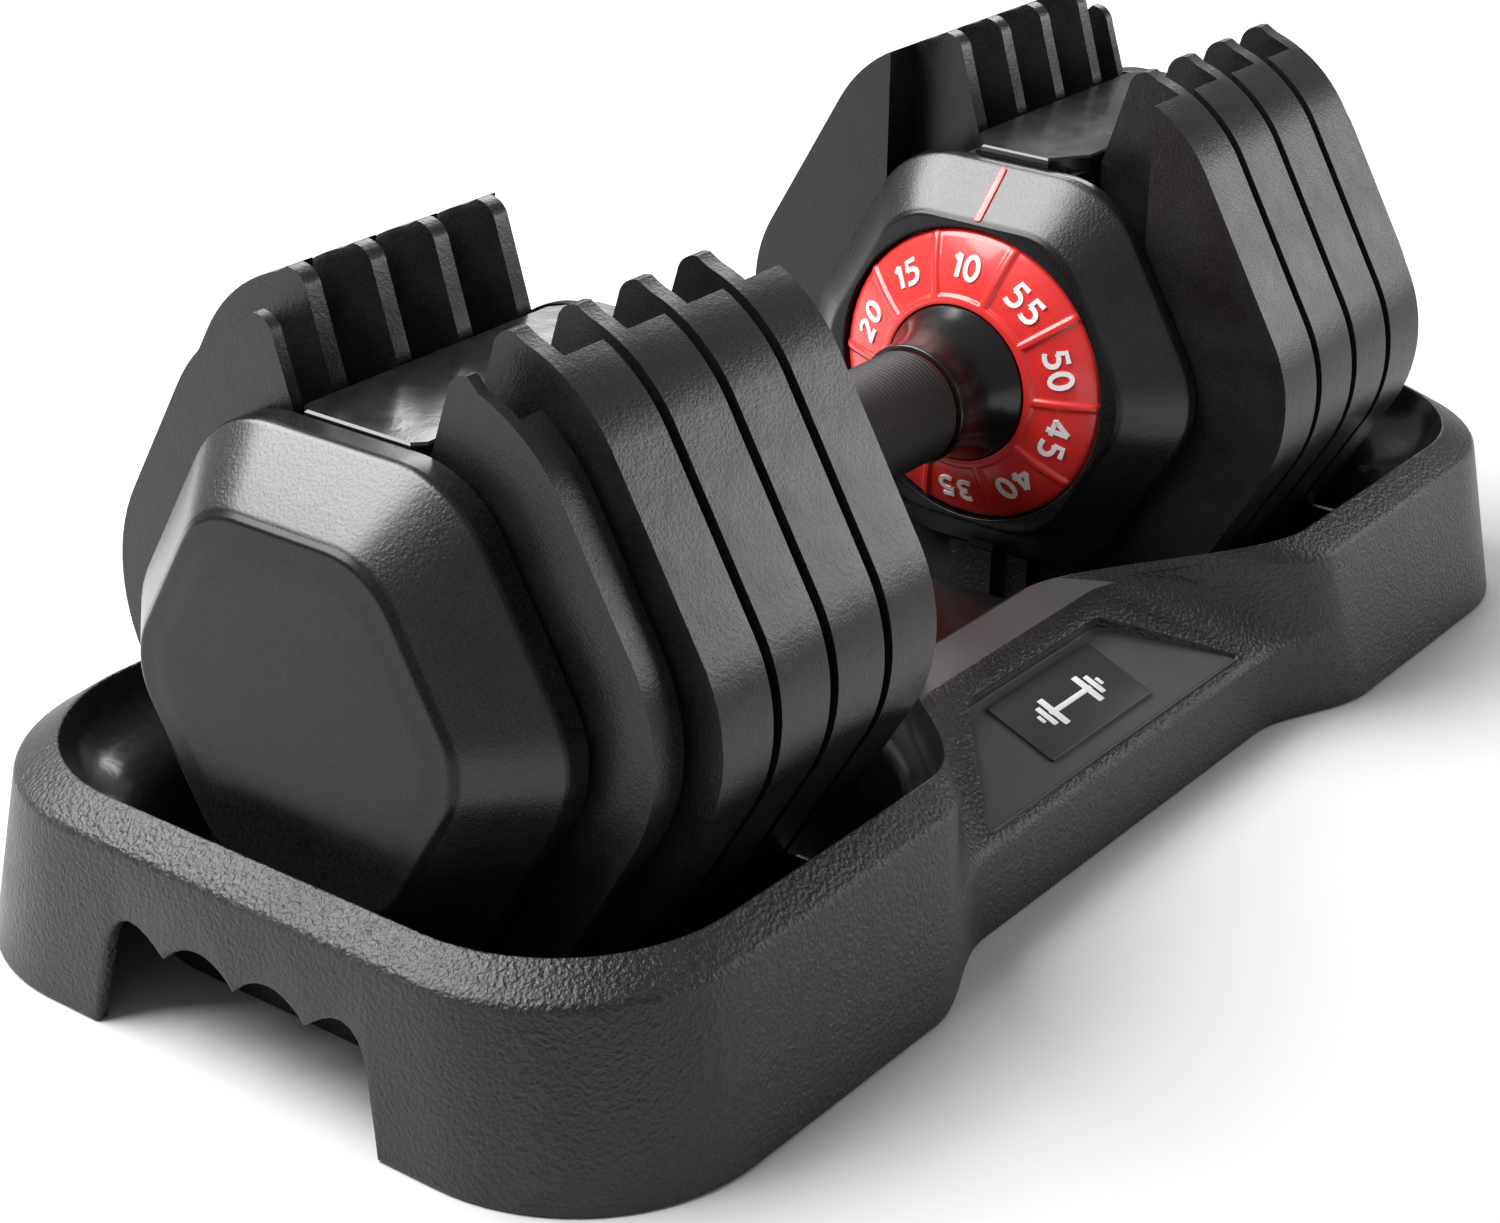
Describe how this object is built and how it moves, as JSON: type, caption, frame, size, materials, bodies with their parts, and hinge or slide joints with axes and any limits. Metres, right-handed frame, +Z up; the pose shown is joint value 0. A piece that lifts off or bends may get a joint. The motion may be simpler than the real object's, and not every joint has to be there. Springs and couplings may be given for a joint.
{
  "type": "adjustable dumbbell with storage tray",
  "caption": "Adjustable dumbbell whose turning grip selects hexagonal weight plates, resting in a moulded floor tray with two wells and a waist.",
  "frame": {"origin": "on the floor, below the middle of the grip", "axes": "+X along the handle, +Y across the tray, +Z up"},
  "size_m": [0.4356, 0.211, 0.1625],
  "materials": {
    "coated_iron": "cast iron plates with a satin black coating, fine grain and softly worn edges",
    "moulded_nylon": "black glass-filled nylon with a pebbled grain on the flanks and smooth rims",
    "lid_nylon": "smooth glossy black nylon",
    "tray_plastic": "black moulded plastic, fine grain outside and glossier in the wells",
    "dial_red": "glossy red plastic with white numerals on the dial",
    "hub_black": "satin to glossy black plastic",
    "grip_rubber": "dark ribbed rubber",
    "plated_steel": "zinc-plated steel",
    "zinc_alloy": "die-cast zinc alloy, as cast",
    "foot_rubber": "plain black rubber",
    "label_gray": "dark grey label with a lighter pictogram"
  },
  "bodies": {
    "tray": {"tray_shell": "tray_plastic", "rack_near": "tray_plastic", "rack_far": "tray_plastic", "cradle_near": "tray_plastic", "cradle_far": "tray_plastic", "label_front": "label_gray", "label_back": "label_gray", "foot_1": "foot_rubber", "foot_2": "foot_rubber", "foot_3": "foot_rubber", "foot_4": "foot_rubber"},
    "frame": {"axle_rod": "plated_steel", "axle_nut_near": "plated_steel", "axle_nut_far": "plated_steel", "core_near": "moulded_nylon", "core_far": "moulded_nylon", "core_lid_near": "lid_nylon", "core_lid_far": "lid_nylon", "inner_housing_near": "moulded_nylon", "inner_housing_far": "moulded_nylon", "indicator_near": "dial_red", "indicator_far": "dial_red", "outer_cap_near": "moulded_nylon", "outer_cap_far": "moulded_nylon", "detent_guide": "moulded_nylon", "detent_spring": "plated_steel", "lock_spring": "plated_steel"},
    "rotor": {"grip_tube": "plated_steel", "grip_sleeve": "grip_rubber", "hub_near": "hub_black", "hub_far": "hub_black", "dial_near": "dial_red", "dial_far": "dial_red", "selector_shaft_near": "plated_steel", "selector_shaft_far": "plated_steel", "selector_disc_near_1": "zinc_alloy", "selector_disc_near_2": "zinc_alloy", "selector_disc_near_3": "zinc_alloy", "selector_disc_near_4": "zinc_alloy", "selector_disc_near_5": "zinc_alloy", "selector_disc_far_1": "zinc_alloy", "selector_disc_far_2": "zinc_alloy", "selector_disc_far_3": "zinc_alloy", "selector_disc_far_4": "zinc_alloy", "selector_disc_far_5": "zinc_alloy", "lock_wheel": "plated_steel", "detent_wheel": "plated_steel"},
    "lock": {"lock_slider": "moulded_nylon"},
    "detent": {"detent_plunger": "plated_steel"},
    "plate_near_1": {"plate_near_1": "coated_iron"},
    "plate_near_2": {"plate_near_2": "coated_iron"},
    "plate_near_3": {"plate_near_3": "coated_iron"},
    "plate_near_4": {"plate_near_4": "coated_iron"},
    "plate_near_5": {"plate_near_5": "coated_iron"},
    "plate_far_1": {"plate_far_1": "coated_iron"},
    "plate_far_2": {"plate_far_2": "coated_iron"},
    "plate_far_3": {"plate_far_3": "coated_iron"},
    "plate_far_4": {"plate_far_4": "coated_iron"},
    "plate_far_5": {"plate_far_5": "coated_iron"}
  },
  "joints": [
    {"name": "handle_lift", "type": "slide", "parent": "tray", "child": "frame", "axis": [0, 0, 1], "range_m": [0, 0.25]},
    {"name": "weight_dial", "type": "hinge", "parent": "frame", "child": "rotor", "pos_m": [0, 0, 0.08], "axis": [1, 0, 0], "range_deg": [0, 324]},
    {"name": "lock_slide", "type": "slide", "parent": "frame", "child": "lock", "axis": [0, 0, -1], "range_m": [0, 0.0032], "deforming": ["lock_spring"]},
    {"name": "detent_slide", "type": "slide", "parent": "frame", "child": "detent", "axis": [0, 0, -1], "range_m": [0, 0.0024], "stiffness_N_per_m": 150, "deforming": ["detent_spring"]},
    {"name": "plate_near_1_slide", "type": "slide", "parent": "frame", "child": "plate_near_1", "axis": [0, 0, -1], "range_m": [0, 0.25]},
    {"name": "plate_near_2_slide", "type": "slide", "parent": "frame", "child": "plate_near_2", "axis": [0, 0, -1], "range_m": [0, 0.25]},
    {"name": "plate_near_3_slide", "type": "slide", "parent": "frame", "child": "plate_near_3", "axis": [0, 0, -1], "range_m": [0, 0.25]},
    {"name": "plate_near_4_slide", "type": "slide", "parent": "frame", "child": "plate_near_4", "axis": [0, 0, -1], "range_m": [0, 0.25]},
    {"name": "plate_near_5_slide", "type": "slide", "parent": "frame", "child": "plate_near_5", "axis": [0, 0, -1], "range_m": [0, 0.25]},
    {"name": "plate_far_1_slide", "type": "slide", "parent": "frame", "child": "plate_far_1", "axis": [0, 0, -1], "range_m": [0, 0.25]},
    {"name": "plate_far_2_slide", "type": "slide", "parent": "frame", "child": "plate_far_2", "axis": [0, 0, -1], "range_m": [0, 0.25]},
    {"name": "plate_far_3_slide", "type": "slide", "parent": "frame", "child": "plate_far_3", "axis": [0, 0, -1], "range_m": [0, 0.25]},
    {"name": "plate_far_4_slide", "type": "slide", "parent": "frame", "child": "plate_far_4", "axis": [0, 0, -1], "range_m": [0, 0.25]},
    {"name": "plate_far_5_slide", "type": "slide", "parent": "frame", "child": "plate_far_5", "axis": [0, 0, -1], "range_m": [0, 0.25]}
  ],
  "couplings": [
    {"joint": "plate_near_1_slide", "follows": "handle_lift", "ratio": 1},
    {"joint": "plate_near_2_slide", "follows": "handle_lift", "ratio": 1},
    {"joint": "plate_near_3_slide", "follows": "handle_lift", "ratio": 1},
    {"joint": "plate_near_4_slide", "follows": "handle_lift", "ratio": 1},
    {"joint": "plate_near_5_slide", "follows": "handle_lift", "ratio": 1},
    {"joint": "plate_far_1_slide", "follows": "handle_lift", "ratio": 1},
    {"joint": "plate_far_2_slide", "follows": "handle_lift", "ratio": 1},
    {"joint": "plate_far_3_slide", "follows": "handle_lift", "ratio": 1},
    {"joint": "plate_far_4_slide", "follows": "handle_lift", "ratio": 1},
    {"joint": "plate_far_5_slide", "follows": "handle_lift", "ratio": 1},
    {"joint": "lock_slide", "follows": "handle_lift", "ratio": 0.0128}
  ]
}
